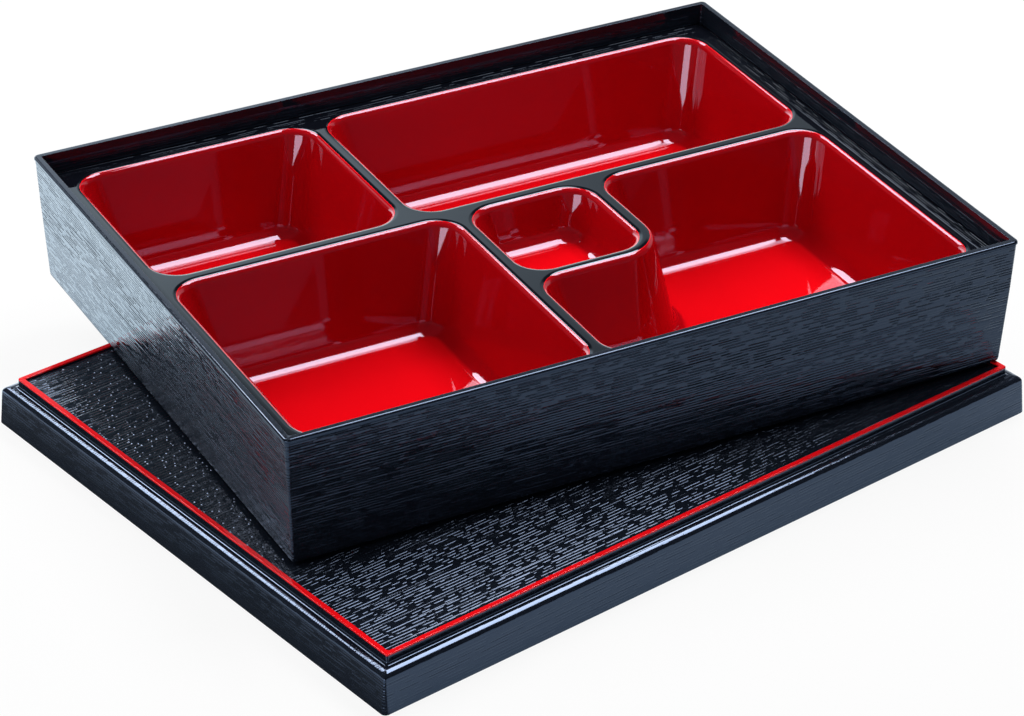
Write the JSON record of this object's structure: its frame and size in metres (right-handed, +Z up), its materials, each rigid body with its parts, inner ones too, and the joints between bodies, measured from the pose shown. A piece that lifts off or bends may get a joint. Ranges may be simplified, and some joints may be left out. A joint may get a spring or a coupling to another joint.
{
  "type": "bento box",
  "caption": "Black grained bento box with a lift-out red tray of compartments, standing askew on its own overlapping lid.",
  "frame": {"origin": "on the table, at the bottom centre of the bounding box of box and lid together", "axes": "+X along the box's long side to the right, +Y to the box's back, +Z up"},
  "size_m": [0.3808, 0.326, 0.0795],
  "materials": {
    "grained_black": "satin black plastic with an embossed wood grain",
    "tray_red": "glossy lacquer red",
    "tray_black": "glossy lacquer black",
    "red_line": "glossy red line"
  },
  "bodies": {
    "lid": {"lid_shell": "grained_black", "lid_red_line": "red_line"},
    "box": {"box_shell": "grained_black"},
    "tray": {"tray_moulding": "tray_red", "tray_black_coat": "tray_black"}
  },
  "joints": [
    {"name": "box_lift", "type": "slide", "parent": "lid", "child": "box", "axis": [0, 0, 1], "range_m": [0, 0.1]},
    {"name": "tray_lift", "type": "slide", "parent": "box", "child": "tray", "axis": [0, 0, 1], "range_m": [0, 0.08]}
  ]
}
